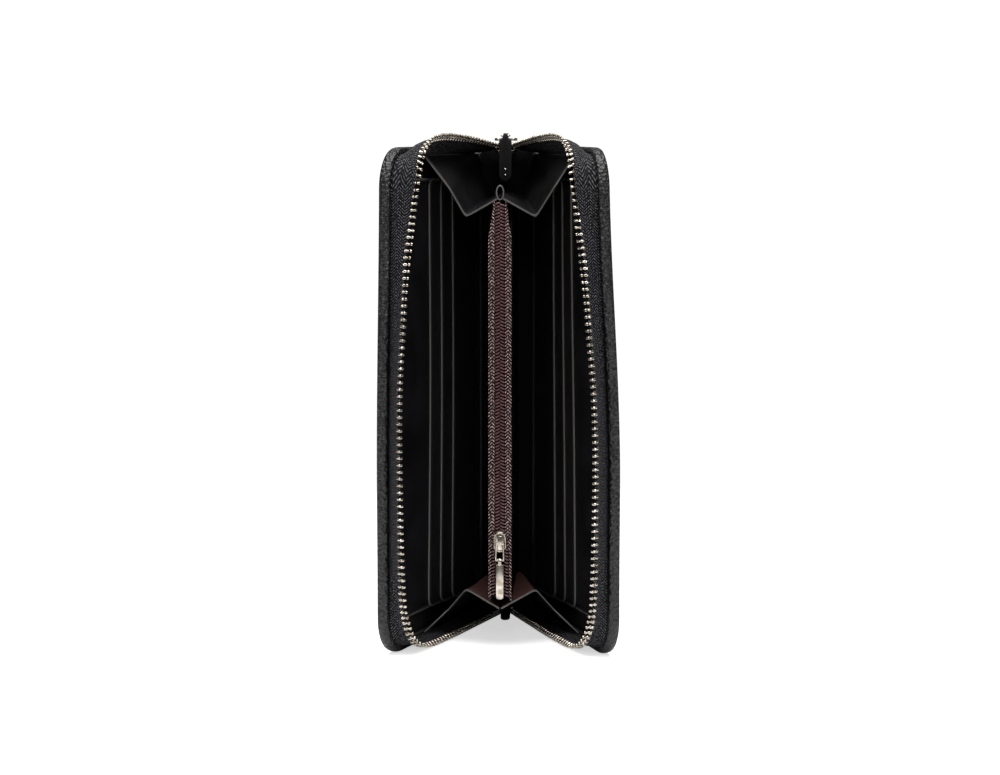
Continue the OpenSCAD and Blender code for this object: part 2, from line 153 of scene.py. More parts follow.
def sizes():
    """The sizes in millimetres, and the open angle in radians."""
    group = bpy.context.scene.wallet_sizes
    return SimpleNamespace(**{key: getattr(group, key) / (1 if key == "open_angle" else MM)
                              for key in WalletSizes.__annotations__})


def colours():
    """The colours as linear RGBA."""
    group = bpy.context.scene.wallet_colours
    return SimpleNamespace(**{key: tuple(getattr(group, key)) for key in WalletColours.__annotations__})


# ---- meshes ----


def add_object(name, mesh, material, crisp):
    """Links a smooth-shaded object whose edges sharper than crisp stay sharp."""
    mesh.polygons.foreach_set("use_smooth", np.ones(len(mesh.polygons), bool))
    mesh.set_sharp_from_angle(angle=crisp)
    mesh.materials.append(material)
    piece = bpy.data.objects.new(name, mesh)
    bpy.context.scene.collection.objects.link(piece)
    return piece


def make_piece(name, points, faces, material, cloth=None, edge=None, shell=True):
    """A mesh object from points in mm and faces as rows of indices. cloth holds mm along the weave, and edge is a 0-1
    mask of edge wear and of painted edge highlight. A shell is closed, so its faces are turned outward."""
    mesh = bpy.data.meshes.new(name)
    mesh.from_pydata((np.asarray(points, float).reshape(-1, 3) * MM).tolist(), [], np.asarray(faces).tolist())
    if cloth is not None:
        layer = mesh.attributes.new("cloth", "FLOAT_VECTOR", "POINT")
        layer.data.foreach_set("vector", np.asarray(cloth, np.float32).ravel())
    layer = mesh.attributes.new("edge", "FLOAT", "POINT")
    worn_and_lit = np.zeros(len(mesh.vertices)) if edge is None else np.asarray(edge).ravel()
    layer.data.foreach_set("value", worn_and_lit.astype(np.float32))
    work = bmesh.new()
    work.from_mesh(mesh)
    bmesh.ops.remove_doubles(work, verts=work.verts, dist=WELD)
    bmesh.ops.dissolve_degenerate(work, edges=work.edges, dist=1e-7)
    if shell:
        bmesh.ops.recalc_face_normals(work, faces=work.faces)
    work.to_mesh(mesh)
    work.free()
    return add_object(name, mesh, material, SOFT_ANGLE)


def grid_faces(rows, cols, wrap_rows=False, wrap_cols=False):
    """Quads of a grid of points, row by row, closed on itself where it wraps."""
    i = np.arange(rows if wrap_rows else rows - 1)[:, None]
    j = np.arange(cols if wrap_cols else cols - 1)[None, :]
    a, b = i * cols + j, i * cols + (j + 1) % cols
    c, d = (i + 1) % rows * cols + (j + 1) % cols, (i + 1) % rows * cols + j
    return np.stack([a, b, c, d], -1).reshape(-1, 4)


def joined(*parts):
    """Arrays and numbers brought to one shape, and stacked along a new last axis."""
    return np.stack(np.broadcast_arrays(*parts), -1)


def full_turn(steps):
    """Angles round a circle, its start not repeated."""
    return np.linspace(0, 2 * math.pi, steps, endpoint=False)


def tube_faces(points):
    """Quads of rings of points, each ring closed on itself."""
    return grid_faces(*points.shape[:2], wrap_cols=True)


def squared(v, power):
    """A sine or cosine pushed out towards a square's: its size to a power, with its sign kept."""
    return np.sign(v) * np.abs(v) ** power


def unit(v):
    """Vectors divided by their own length."""
    return v / np.maximum(np.linalg.norm(v, axis=-1, keepdims=True), 1e-9)


def smooth_step(t):
    """3t^2 - 2t^3 between 0 and 1."""
    t = np.clip(t, 0, 1)
    return t * t * (3 - 2 * t)


def rounded_edge(depth_low, depth_high, r, steps=4):
    """Profile of a plate's edge as (inset, depth): a quarter circle, the wall, and a quarter circle back."""
    a = np.linspace(0, math.pi / 2, steps)
    low = np.stack([r * (1 - np.sin(a)), depth_low + r * (1 - np.cos(a))], 1)
    high = np.stack([r * (1 - np.sin(a)), depth_high - r * (1 - np.cos(a))], 1)[::-1]
    return np.concatenate([low, high])


def plate_grid(outline, centre, profile):
    """Rings of a closed plate: each outline point moved inward along its normal by the profile's inset, then in to
    centre. Gives (rows, points, 2) places, (rows,) depths and (rows,) insets."""
    ahead = unit(np.roll(outline, -1, 0) - np.roll(outline, 1, 0))
    inward = np.stack([-ahead[:, 1], ahead[:, 0]], 1)
    inward *= np.sign(((centre - outline) * inward).sum())
    rings = outline[None] + profile[:, 0][:, None, None] * inward[None]
    rings = np.concatenate([centre[None], rings, centre[None]])
    depth = np.concatenate([profile[:1, 1], profile[:, 1], profile[-1:, 1]])
    inset = np.concatenate([[9.0], profile[:, 0], [9.0]])
    return rings, depth, inset


def arc(cx, cy, r, start, end, steps=14):
    """Points of a circle, centre + r (cos a, sin a), with a from start to end in degrees."""
    a = np.radians(np.linspace(start, end, steps))
    return np.stack([cx + r * np.cos(a), cy + r * np.sin(a)], 1)


def resample(path, step):
    """Points a step apart along a closed line."""
    ring = np.vstack([path, path[:1]])
    run = np.concatenate([[0], np.cumsum(np.linalg.norm(np.diff(ring, axis=0), axis=1))])
    s = np.linspace(0, run[-1], max(12, int(run[-1] / step)), endpoint=False)
    return np.stack([np.interp(s, run, ring[:, k]) for k in range(2)], 1)


def sheet_outline(back, front, inset, r):
    """A card panel's outline in u and z: square at the back and rounded at the front."""
    h = COVER_H - inset
    return np.concatenate([
        [[back, inset]], arc(front - r, inset + r, r, -90, 0), arc(front - r, h - r, r, 0, 90), [[back, h]],
    ])


# ---- places ----


def upright(p, depth):
    """A plate that faces the front: across, depth from the front to the back, and up."""
    return joined(p[..., 0], depth, p[..., 1])


def pulled(u, z, side):
    """How far the zip draws a cover inward: it grows with the depth and over the upper half of the height."""
    s = sizes()
    most = s.pull_left if side < 0 else s.pull_right
    return most * np.clip(u / s.cover_d, 0, 1.1) ** 1.5 * smooth_step((z - 0.35 * COVER_H) / (0.65 * COVER_H))


def cover_point(side, u, w, z):
    """From a cover's own directions to the frame: forward and inward turned by the open angle about the bend."""
    a = sizes().open_angle
    w = w + pulled(u, z, side)
    x = -HINGE_X - u * math.sin(a) + w * math.cos(a)
    y = -u * math.cos(a) - w * math.sin(a) + Y_HINGE
    return joined(-side * x, y, z)


def wrapped_point(side, s, w, z):
    """As cover_point, with s running on round the bend and over the spine where it is below zero."""
    turn = math.pi / 2 - sizes().open_angle
    run = turn * BEND_R
    phi = np.clip(-s / BEND_R, 0, turn) + sizes().open_angle
    over = np.maximum(-s - run, 0)
    x = -HINGE_X + w * np.cos(phi) + over
    y = -w * np.sin(phi) + Y_HINGE
    back = joined(-side * x, y, z)
    front = cover_point(side, np.maximum(s, 0), w, z)
    return np.where(np.broadcast_arrays(s, w, z)[0][..., None] >= 0, front, back)


def bend_ends(side, near, far):
    """Two points, near and far mm inward of a cover's middle, at the bend."""
    a = sizes().open_angle
    inward = np.array([math.cos(a) * -side, -math.sin(a), 0])
    hinge = np.array([HINGE_X * side, Y_HINGE, COVER_H / 2])
    return tuple((hinge + near * inward) * MM), tuple((hinge + far * inward) * MM)


def from_open(x, y, z):
    """From x left of the middle and y behind the bends to a cover's own directions: the open turn, undone."""
    a = sizes().open_angle
    return [-y * math.cos(a) - (x + HINGE_X) * math.sin(a), (x + HINGE_X) * math.cos(a) - y * math.sin(a), z]


def chain_knots():
    """The points that the tips of the main zip's teeth follow, forward, inward and up."""
    d, h, rise, out = sizes().cover_d, COVER_H, 4.8, 4.8
    return np.array([
        from_open(-0.54, -6.37, h), from_open(-0.96, -12.03, h), from_open(-2.3, -17.9, h + 0.3),
        from_open(-6.67, -29.1, h + 1.8), [44, HINGE_X + 0.7, h + 0.8 * rise],
        [d - 38, 11.4, h + rise], [d - 24, 11.3, h + 0.75 * rise], [d - 16, 11.2, h - 0.8], [d - 11.5, 11, h - 9],
        [d - 7, 10.8, h - 22], [d, 10.5, h - 50], [d + out, 10.2, h - 85], [d + out, 10.2, 70],
        [d + out / 2, 10.2, 28], [d - 3, 10.5, 13], [d - 9.5, 11, 5.5], [d - 20, 11.8, 2],
        [d - 40, HINGE_X + 0.6, 1.4], [30, HINGE_X + 0.8, 1.4], from_open(-0.64, -6.34, 1.4),
    ])


def smooth_line(knots, steps):
    """Catmull-Rom: half of 2b + (c-a)t + (2a-5b+4c-d)t^2 + (3b-a-3c+d)t^3 on each span."""
    k = np.vstack([knots[:1], knots, knots[-1:]])
    t = (np.arange(steps) / steps)[None, :, None]
    a, b, c, d = (k[i:len(k) - 3 + i][:, None] for i in range(4))
    line = 0.5 * (2 * b + (c - a) * t + (2 * a - 5 * b + 4 * c - d) * t ** 2 + (3 * b - a - 3 * c + d) * t ** 3)
    return np.vstack([line.reshape(-1, 3), knots[-1:]])


def chain_frames(at=None):
    """The teeth's tips on the chain's line, the sewn edge, the ways across the tape, along it and through it, and the
    chain's length. The sewn edge is the nearest point of the cover's rounded outline, moved in to the rim. Across
    is from it to the tip, through is the cross of the line's direction and across, and along is square to both."""
    s = sizes()
    line = smooth_line(chain_knots(), 16)
    run = np.concatenate([[0], np.cumsum(np.linalg.norm(np.diff(line, axis=0), axis=1))])
    at = np.linspace(0, run[-1], 420) if at is None else at
    pick = lambda q: np.stack([np.interp(q, run, line[:, k]) for k in range(3)], 1)
    tip, ahead = pick(at), unit(pick(at + 0.4) - pick(at - 0.4) + 1e-9)
    core = np.stack([np.minimum(tip[:, 0], s.cover_d - s.corner_r),
                     np.clip(tip[:, 2], s.corner_r, COVER_H - s.corner_r)], 1)
    out = unit(tip[:, [0, 2]] - core)
    seam = core + (s.corner_r - s.rim_w + SEWN_IN) * out
    seam = np.stack([seam[:, 0], np.full(len(at), BEND_R + 0.4), seam[:, 1]], 1)
    lean = unit(tip - seam)
    through = unit(np.cross(ahead, lean))
    return tip, seam, lean, np.cross(lean, through), through, run[-1]


# ---- materials ----


def add_node(tree, kind, inputs=None, out=0, **settings):
    """Adds a shader node with its settings. An input that is a socket is linked, and any other is set. Gives an
    output."""
    node = tree.nodes.new("ShaderNode" + kind)
    for key, value in settings.items():
        setattr(node, key, value)
    for key, value in (inputs or {}).items():
        if isinstance(value, bpy.types.NodeSocket):
            tree.links.new(value, node.inputs[key])
        else:
            node.inputs[key].default_value = value
    return node.outputs[out] if len(node.outputs) else None


def new_material(name):
    """An empty material, and add_node for its tree."""
    material = bpy.data.materials.new(name)
    material.use_nodes = True
    material.node_tree.nodes.clear()
    return material, partial(add_node, material.node_tree)


def add_surface(add, height, strength, depth_mm, values):
    """Ends a material: the height as a bump of that depth, the shader with its values, and the output."""
    normal = add("Bump", {"Height": height, "Strength": strength, "Distance": depth_mm * MM})
    shader = add("BsdfPrincipled", {"Normal": normal, **values})
    add("OutputMaterial", {"Surface": shader})


def pebbled_leather(name):
    """Chrome-tanned cowhide, embossed with a pebble and lightly coated: small soft highlights on near black."""
    c = colours()
    material, add = new_material(name)
    place = add("TexCoord", out="Object")
    # Real pebbles are about 0.6 mm; cells of 1.05 mm still show at this distance.
    cells = add("TexVoronoi", {"Vector": place, "Scale": 0.95 / MM}, feature="SMOOTH_F1")
    broad = add("TexNoise", {"Vector": place, "Scale": 0.06 / MM, "Detail": 3.0})
    fine = add("TexNoise", {"Vector": place, "Scale": 3 / MM, "Detail": 3.0})
    # The mask is 1 on a worn edge, and -1 on the flat side that faces the lining, which has no pebble.
    worn_and_lit = add("Attribute", attribute_name="edge", out="Fac")
    tone = add("MapRange", {"Value": broad, "From Min": 0.35, "From Max": 0.65})
    base = add("Mix", {"Factor": tone, 6: c.leather, 7: linear("0d0d0f")}, **COLOUR_MIX)
    base = add("Mix", {"Factor": worn_and_lit, 6: base, 7: c.worn_leather}, **COLOUR_MIX)
    rough = add("MapRange", {"Value": fine, "From Min": 0.3, "From Max": 0.7, "To Min": 0.3, "To Max": 0.5})
    pebble = add("MapRange", {"Value": worn_and_lit, "From Min": -1.0, "From Max": -0.2})
    add_surface(add, cells, pebble, 0.9, {"Base Color": base, "Roughness": rough, "Specular IOR Level": 0.5})
    return material


def coated_leather(name, colour, other, gloss, specular, wrinkle_mm, depth_mm, slope=None):
    """Split leather or sheepskin with a smooth coat: a quiet, slightly uneven sheen, fine creases, and cut edges
    painted pale, edge paint brightened into a painted highlight. Where slope is a colour, the cloth attribute marks
    the wine lining by a first value above 2."""
    material, add = new_material(name)
    place = add("TexCoord", out="Object")
    broad = add("TexNoise", {"Vector": place, "Scale": 0.06 / MM, "Detail": 3.0})
    crease = add("TexNoise", {"Vector": place, "Scale": 1 / (wrinkle_mm * MM), "Detail": 5.0})
    worn_and_lit = add("Attribute", attribute_name="edge", out="Fac")
    tone = add("MapRange", {"Value": broad, "From Min": 0.35, "From Max": 0.65})
    base = add("Mix", {"Factor": tone, 6: colour, 7: other}, **COLOUR_MIX)
    if slope:
        run = add("Attribute", attribute_name="cloth", out="Vector")
        run = add("SeparateXYZ", {0: run})
        on_slope = add("MapRange", {"Value": run, "From Min": 1.95, "From Max": 2.05})
        thread = add("TexNoise", {"Vector": place, "Scale": 0.8 / MM, "Detail": 2.0})
        cloth = add("Mix", {"Factor": thread, 6: slope, 7: linear("5a3c3a")}, **COLOUR_MIX)
        base = add("Mix", {"Factor": on_slope, 6: base, 7: cloth}, **COLOUR_MIX)
    # The edge mask paints the cut edges pale: edge paint brightened into a painted highlight.
    base = add("Mix", {"Factor": worn_and_lit, 6: base, 7: colours().edge}, **COLOUR_MIX)
    rough = add("MapRange", {"Value": broad, "From Min": 0.3, "From Max": 0.7, "To Min": gloss,
        "To Max": gloss + 0.13})
    add_surface(add, crease, 0.28, depth_mm, {"Base Color": base, "Roughness": rough, "Specular IOR Level": specular})
    return material


def woven_tape(name, dark, light, twill_mm, band_mm, thread_mm, rough):
    """Polyester tape woven in herringbone: ribs sin(x + |zigzag y|), each cut into threads by sin(y). The raised
    threads are bumped and coloured light, a painted highlight on every thread. The threads are a third coarser than
    real ones, so that they show."""
    material, add = new_material(name)
    place = add("Attribute", attribute_name="cloth", out="Vector")
    along = add("SeparateXYZ", {0: place}, out="X")
    across = add("SeparateXYZ", {0: place}, out="Y")
    zigzag = add("Math", {0: across, 1: band_mm}, operation="PINGPONG")
    slope = add("Math", {0: along, 1: zigzag}, operation="ADD")
    turns = add("Math", {0: slope, 1: 2 * math.pi / twill_mm}, operation="MULTIPLY")
    rib = add("Math", {0: turns}, operation="SINE")
    rib = add("MapRange", {"Value": rib, "From Min": -0.2, "From Max": 1.0})
    turns = add("Math", {0: across, 1: 2 * math.pi / thread_mm}, operation="MULTIPLY")
    thread = add("Math", {0: turns}, operation="SINE")
    thread = add("MapRange", {"Value": thread, "From Min": -1.0, "To Min": 0.3})
    height = add("Math", {0: rib, 1: thread}, operation="MULTIPLY")
    # A noise makes the painted highlight on the threads stronger in places and fainter in others.
    fibre = add("TexNoise", {"Vector": place, "Scale": 1.3, "Detail": 1.0})
    fade = add("MapRange", {"Value": fibre, "From Min": 0.4, "From Max": 0.6, "To Min": 1.5, "To Max": 0.1})
    highlight_amount = add("Math", {0: height, 1: fade}, operation="MULTIPLY")
    base = add("Mix", {"Factor": highlight_amount, 6: dark, 7: light}, **COLOUR_MIX)
    shine = add("MapRange", {"Value": height, "To Min": rough + 0.12, "To Max": rough})
    add_surface(add, height, 1.0, 0.3, {"Base Color": base, "Roughness": shine, "Specular IOR Level": 0.15,
        "Sheen Weight": 0.02})
    return material


def polished_nickel(name):
    """Zinc and brass with bright nickel plate: clear reflections, slightly warm, dulled by handling."""
    material, add = new_material(name)
    place = add("TexCoord", out="Object")
    wear_and_sheen = add("TexNoise", {"Vector": place, "Scale": 0.4 / MM, "Detail": 3.0})
    pits = add("TexNoise", {"Vector": place, "Scale": 4 / MM, "Detail": 3.0})
    tone = add("MapRange", {"Value": wear_and_sheen, "From Min": 0.35, "From Max": 0.7})
    base = add("Mix", {"Factor": tone, 6: colours().nickel, 7: linear("968a7b")}, **COLOUR_MIX)
    rough = add("MapRange", {"Value": wear_and_sheen, "From Min": 0.3, "From Max": 0.7, "To Min": 0.12, "To Max": 0.24})
    add_surface(add, pits, 0.08, 0.05, {"Base Color": base, "Roughness": rough, "Metallic": 1.0})
    return material


def nylon_coil(name):
    """Dyed nylon monofilament: smooth turns with a small highlight on each."""
    c = colours()
    material, add = new_material(name)
    place = add("TexCoord", out="Object")
    tint = add("TexNoise", {"Vector": place, "Scale": 0.3 / MM, "Detail": 3.0})
    marks = add("TexNoise", {"Vector": place, "Scale": 5 / MM, "Detail": 3.0})
    base = add("Mix", {"Factor": tint, 6: c.wine, 7: linear("6c4c4d")}, **COLOUR_MIX)
    rough = add("MapRange", {"Value": tint, "From Min": 0.3, "From Max": 0.7, "To Min": 0.22, "To Max": 0.36})
    add_surface(add, marks, 0.1, 0.05, {"Base Color": base, "Roughness": rough, "Specular IOR Level": 0.7})
    return material


def fibre_board(name):
    """Pressed bonded fibre: matt and mottled. It stiffens the covers and is enclosed by them."""
    material, add = new_material(name)
    place = add("TexCoord", out="Object")
    mottle = add("TexNoise", {"Vector": place, "Scale": 0.8 / MM, "Detail": 6.0})
    base = add("Mix", {"Factor": mottle, 6: colours().board, 7: linear("6d5f4a")}, **COLOUR_MIX)
    rough = add("MapRange", {"Value": mottle, "From Min": 0.3, "From Max": 0.7, "To Min": 0.8, "To Max": 0.95})
    add_surface(add, mottle, 0.3, 0.1, {"Base Color": base, "Roughness": rough})
    return material


def finish(kind):
    """The material of that kind, made once."""
    c = colours()
    name, make, *values = {
        "leather": ("pebbled cowhide", pebbled_leather),
        "lining": ("coated split leather", coated_leather, c.lining, linear("141316"), 0.38, 0.2, 0.6, 0.12),
        # The card slots are the lining leather lightened, as painted light against the shade between them.
        "slots": ("coated card slot leather", coated_leather, c.slot, linear("1d1b1e"), 0.38, 0.25, 0.6, 0.12),
        # The spine's leather is the lining leather darkened to near black: painted shade of the deep cavity behind
        # the pocket.
        "spine": ("matt split leather", coated_leather, linear("050506"), linear("080709"), 0.6, 0.08, 0.6, 0.12),
        "gusset": ("glazed sheepskin", coated_leather, c.gusset, linear("131114"), 0.3, 0.3, 2.0, 0.3),
        "lined": ("lined glazed sheepskin", coated_leather, c.gusset, linear("131114"), 0.3, 0.3, 2.0, 0.3, c.slope),
        # The tapes' light colours are painted highlights on their raised threads.
        "tape": ("herringbone tape", woven_tape, linear("020203"), c.tape, 1.15, 2.3, 0.85, 0.7),
        "wine": ("wine zip tape", woven_tape, linear("080203"), c.thread, 1.25, 1.5, 0.9, 0.6),
        "nickel": ("polished nickel", polished_nickel),
        "coil": ("dyed nylon coil", nylon_coil),
        "board": ("bonded fibre board", fibre_board),
    }[kind]
    return bpy.data.materials.get(name) or make(name, *values)


def soft_edged(node, material, width):
    """A copy of a CAD node that stands for it, its triangles merged and its edges rounded to a small radius in mm."""
    work = bmesh.new()
    work.from_mesh(frame["nodes"][node].data)
    bmesh.ops.remove_doubles(work, verts=work.verts, dist=WELD)
    bmesh.ops.dissolve_limit(work, angle_limit=math.radians(1), verts=work.verts, edges=work.edges)
    sharp = [e for e in work.edges if len(e.link_faces) == 2 and e.calc_face_angle() > CAST_ANGLE]
    bmesh.ops.bevel(work, geom=sharp, offset=width * MM, segments=2, profile=0.6, affect="EDGES", clamp_overlap=True)
    bmesh.ops.recalc_face_normals(work, faces=work.faces)
    mesh = bpy.data.meshes.new(node + "_cast")
    work.to_mesh(mesh)
    work.free()
    piece = add_object(node + "_cast", mesh, material, CAST_ANGLE)
    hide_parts(node)
    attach(piece, BODY_OF[node])
    return piece


# ---- pieces ----


def to_midline(outline):
    """Each point's nearest place on the line along the middle of the outline."""
    low, high = outline.min(0), outline.max(0)
    half = (high - low).min() / 2
    return np.clip(outline, low + half, high - half)


def flat_plate(name, outline, low, high, r, place, material, centre=to_midline, extra=None, wear_and_sheen=1.0):
    """A plate with rounded edges between two depths, whose outline is closed in to centre, set in the frame by place.
    extra adds (inset, depth) rings to its profile, for a pressed crease."""
    outline = resample(outline, 0.9 if extra is None else 1.5)
    centre = centre(outline)
    profile = rounded_edge(low, high, r)
    if extra is not None:
        profile = np.vstack([profile, extra])
    rings, depth, inset = plate_grid(outline, centre, profile)
    points = place(rings, depth[:, None])
    # Near the outline the edge mask paints the edge pale: edge paint brightened into a painted highlight.
    worn_and_lit = np.broadcast_to(wear_and_sheen * np.exp(-(inset / 0.38) ** 2)[:, None], points.shape[:2])
    cloth = np.concatenate([rings[..., ::-1], np.zeros((*rings.shape[:2], 1))], -1)
    return make_piece(name, points, tube_faces(points), material, cloth, worn_and_lit)


class WALLET_OT_covers(bpy.types.Operator):
    """Outer leather: the rounded outline of a cover swept with the profile of its turned rim, round onto the spine"""

    bl_idname = "wallet.covers"
    bl_label = "Covers"

    def execute(self, context):
        s = sizes()
        d, r, h = s.cover_d, s.corner_r, COVER_H
        end = -(math.pi / 2 - s.open_angle) * BEND_R - HINGE_X
        back = np.concatenate([np.linspace(end, -4, 12), np.linspace(-3.4, 4, 26), np.linspace(5, d - r - 1, 40)])
        path = np.concatenate([
            np.stack([back, np.zeros(len(back))], 1), arc(d - r, r, r, -90, 0, 22),
            np.stack([np.full(50, d), np.linspace(r, h - r, 52)[1:-1]], 1), arc(d - r, h - r, r, 0, 90, 22),
            np.stack([back[::-1], np.full(len(back), h)], 1),
        ])
        core = np.stack([np.minimum(path[:, 0], d - r), np.clip(path[:, 1], r, h - r)], 1)
        inward = unit(core - path)
        middle = np.stack([np.minimum(path[:, 0], d - h / 2 * 0.9), np.full(len(path), h / 2)], 1)
        # Inset from the edge and depth: from the board round the turned rim to the outside, where a line is pressed.
        t, rim_round = BEND_R, 0.9
        turn = np.linspace(0, math.pi, 9)
        rim = np.stack([rim_round * (1 - np.sin(turn)), t * np.cos(turn)], 1)
        profile = np.vstack([
            [[s.rim_w + 1, 0.1], [s.rim_w, 0.15], [s.rim_w, t - 0.5], [s.rim_w - 0.35, t - 0.08]],
            [[s.rim_w - 1.1, t + 0.02]], rim, [[1.6, -t], [2.3, -t + 0.14], [3.0, -t], [6, -t], [12, -t]],
        ])
        for name, side in SIDES.items():
            rings = path[None] + profile[:, 0][:, None, None] * inward[None]
            ramp = np.array([0.35, 0.7, 1.0])[:, None, None]
            rings = np.concatenate([middle[None], rings, rings[-1:] * (1 - ramp) + middle[None] * ramp])
            depth = np.concatenate([[0.1], profile[:, 1], [-t, -t, -t]])[:, None] * np.ones(len(path))
            # The rim thins to the spine's own leather where it turns the bend.
            thin = 1 - smooth_step((rings[..., 0] - 1) / 8)
            depth = np.where(depth > -SHEET, depth * (1 - thin) - SHEET * thin, depth)
            points = wrapped_point(side, rings[..., 0], depth, rings[..., 1])
            worn_and_lit = np.exp(-((np.concatenate([[9], profile[:, 0], [9, 9, 9]]) / 0.7) ** 2))
            worn_and_lit = np.broadcast_to(worn_and_lit[:, None], points.shape[:2]) * 0.6
            worn_and_lit = np.where(np.arange(len(worn_and_lit))[:, None] < 3, -1.0, worn_and_lit)
            piece = make_piece(f"{name}_cover_skin", points, tube_faces(points), finish("leather"), edge=worn_and_lit)
            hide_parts(f"{name}_cover_leather", *(["spine_leather"] if side < 0 else []))
            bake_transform(piece)
        return {"FINISHED"}


class WALLET_OT_linings(bpy.types.Operator):
    """Linings, slip panels and stepped card slots: rounded sheets with a crease pressed along their edges"""

    bl_idname = "wallet.linings"
    bl_label = "Linings and card slots"

    def execute(self, context):
        s = sizes()
        for name, side in SIDES.items():
            place = lambda p, depth, side=side: cover_point(side, p[..., 0], depth, p[..., 1])
            outline = sheet_outline(2.6, s.cover_d - s.rim_w - 0.1, s.rim_w + 0.1, s.corner_r - s.rim_w)
            board = flat_plate(f"{name}_board_sheet", outline, 0.2, 0.48, 0.1, place, finish("board"))
            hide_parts(f"{name}_cover_board")
            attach(board, f"{name}_cover")
            sheets = [(f"{name}_lining_sheet", f"{name}_cover_lining", 1.2, s.cover_d - s.rim_w - 0.05,
                       s.rim_w + 0.05, s.corner_r - s.rim_w, 0.5, 0.5 + SHEET),
                      (f"{name}_slip_sheet", f"{name}_slip_panel", 4.45, s.cover_d - 12, 12, 4, 1.25, 1.25 + SHEET)]
            for k in range(3):
                low = 2.0 + (SHEET + 0.05) * k
                sheets.append((f"{name}_slot_sheet_{k + 1}", f"{name}_card_slot_{k + 1}", 12,
                               s.slot_front - k * s.slot_step, 12, 4, low, low + SHEET))
            # Cards have stretched the slots: their edges bow back, most at mid height.
            bow = 2.2
            bowed = lambda p, depth, side=side: cover_point(
                side, p[..., 0] - bow * np.sin(math.pi * p[..., 1] / COVER_H) ** 2 * p[..., 0] / s.slot_front,
                depth, p[..., 1])
            for piece_name, node, back, front, inset, r, low, high in sheets:
                crease = np.array([[1.2, high], [1.5, high - 0.16], [1.8, high], [3.0, high]])
                piece = flat_plate(piece_name, sheet_outline(back, front, inset, r), low, high, 0.32,
                    bowed if "slot" in piece_name else place, finish("slots" if "slot" in piece_name else "lining"),
                    extra=crease)
                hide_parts(node)
                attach(piece, f"{name}_cover")
        low, high = cad_box_mm("spine_lining")
        # The sheet runs on into the bends on each side.
        into_bend = 1
        wide = high[0] + into_bend
        outline = np.array([[-wide, low[2]], [wide, low[2]], [wide, high[2]], [-wide, high[2]]])
        # The spine's lining is near black as painted shade of the deep cavity.
        piece = flat_plate("spine_lining_sheet", outline, low[1], high[1], 0.4, upright, finish("spine"), wear_and_sheen=0.0)
        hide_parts("spine_lining")
        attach(piece, "spine")
        return {"FINISHED"}


